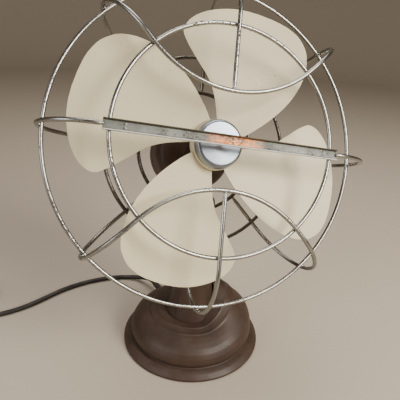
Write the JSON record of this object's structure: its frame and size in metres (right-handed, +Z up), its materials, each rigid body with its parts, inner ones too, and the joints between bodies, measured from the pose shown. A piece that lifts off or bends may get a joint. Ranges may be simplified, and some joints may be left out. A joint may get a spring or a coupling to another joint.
{
  "type": "desk fan",
  "caption": "Tabletop fan with a bell-shaped base, a tilting and swivelling head, broad cream blades and an open round wire guard with waved wires and a front bar.",
  "frame": {"origin": "centre of the felt pad's underside, on the table", "axes": "+Z up, the fan faces -Y, +X to the right of someone who looks at its front"},
  "size_m": [0.501, 0.3127, 0.4088],
  "materials": {
    "enamel_brown": "semi-gloss brown baked enamel",
    "enamel_cream": "satin ivory enamel",
    "guard_nickel": "aged bright nickel plate with rust flecks",
    "spun_aluminium": "spun, fine concentric lines",
    "steel": "dull machined steel",
    "bronze": "oiled bearing bronze",
    "brass": "dull brass",
    "copper_winding": "varnished copper wire",
    "cord_rubber": "matt dark brown rubber",
    "black_plastic": "black phenolic",
    "felt": "dark green felt"
  },
  "bodies": {
    "base": {"felt_pad": "felt", "base_plate": "steel", "base_screw_1": "steel", "base_screw_2": "steel", "base_screw_3": "steel", "base_casting": "enamel_brown", "neck": "enamel_brown", "neck_nut": "steel", "speed_switch": "black_plastic", "switch_bushing": "brass", "strain_relief": "cord_rubber", "power_cord": "cord_rubber", "cord_coil": "cord_rubber", "cord_tail": "cord_rubber", "cord_plug": "cord_rubber", "plug_blade_1": "brass", "plug_blade_2": "brass", "swivel_bush": "bronze"},
    "speed_knob": {"switch_knob": "black_plastic"},
    "yoke": {"swivel_yoke": "enamel_brown", "tilt_bolt": "steel"},
    "wing_nut": {"tilt_wing_nut": "steel"},
    "head": {"motor_front_shell": "enamel_brown", "motor_rear_shell": "enamel_brown", "front_bearing": "bronze", "rear_bearing": "bronze", "stator_core": "steel", "stator_coil_1": "copper_winding", "stator_coil_2": "copper_winding", "stator_coil_3": "copper_winding", "stator_coil_4": "copper_winding", "gearbox_cover": "enamel_brown", "guard_outer_ring": "guard_nickel", "guard_front_ring": "guard_nickel", "guard_rear_ring": "guard_nickel", "guard_mount_ring": "guard_nickel", "guard_top_wave": "guard_nickel", "guard_bottom_wave": "guard_nickel", "guard_top_spoke": "guard_nickel", "guard_bottom_spoke": "guard_nickel", "guard_left_spoke": "guard_nickel", "guard_right_spoke": "guard_nickel", "guard_bar": "guard_nickel", "guard_bracket_1": "steel", "guard_bracket_2": "steel", "guard_bracket_3": "steel"},
    "rotor": {"shaft": "steel", "rotor_core": "steel", "worm": "steel", "hub": "enamel_cream", "hub_cap": "spun_aluminium", "blade_1": "enamel_cream", "blade_2": "enamel_cream", "blade_3": "enamel_cream", "blade_4": "enamel_cream"},
    "worm_gear": {"worm_wheel": "brass"},
    "link": {"crank_link": "steel"},
    "lift_knob": {"oscillator_knob": "black_plastic"}
  },
  "joints": [
    {"name": "head_swivel", "type": "hinge", "parent": "base", "child": "yoke", "pos_m": [0, 0, 0.142], "axis": [0, 0, 1], "range_deg": [-40, 40]},
    {"name": "head_tilt", "type": "hinge", "parent": "yoke", "child": "head", "pos_m": [0, 0, 0.181], "axis": [-1, 0, 0], "range_deg": [-20, 12]},
    {"name": "wing_nut_turn", "type": "hinge", "parent": "yoke", "child": "wing_nut", "pos_m": [-0.02, 0, 0.181], "axis": [-1, 0, 0], "range_deg": [-90, 90]},
    {"name": "blade_spin", "type": "hinge", "parent": "head", "child": "rotor", "pos_m": [0, 0.02205, 0.23294], "axis": [0, -0.9205, 0.3907], "continuous": true},
    {"name": "worm_wheel_turn", "type": "hinge", "parent": "head", "child": "worm_gear", "pos_m": [0.019, 0.0828, 0.20716], "axis": [0, 0.3907, 0.9205], "continuous": true},
    {"name": "crank_link_turn", "type": "hinge", "parent": "worm_gear", "child": "link", "pos_m": [0.019, 0.07544, 0.21028], "axis": [0, 0.3907, 0.9205], "range_deg": [-60, 60]},
    {"name": "oscillator_lift", "type": "slide", "parent": "head", "child": "lift_knob", "axis": [0, 0.3907, 0.9205], "range_m": [0, 0.005]},
    {"name": "speed_turn", "type": "hinge", "parent": "base", "child": "speed_knob", "pos_m": [0, 0.08, 0.02], "axis": [0, 1, 0], "range_deg": [0, 135]}
  ],
  "couplings": [
    {"joint": "worm_wheel_turn", "follows": "blade_spin", "ratio": -0.027778}
  ]
}
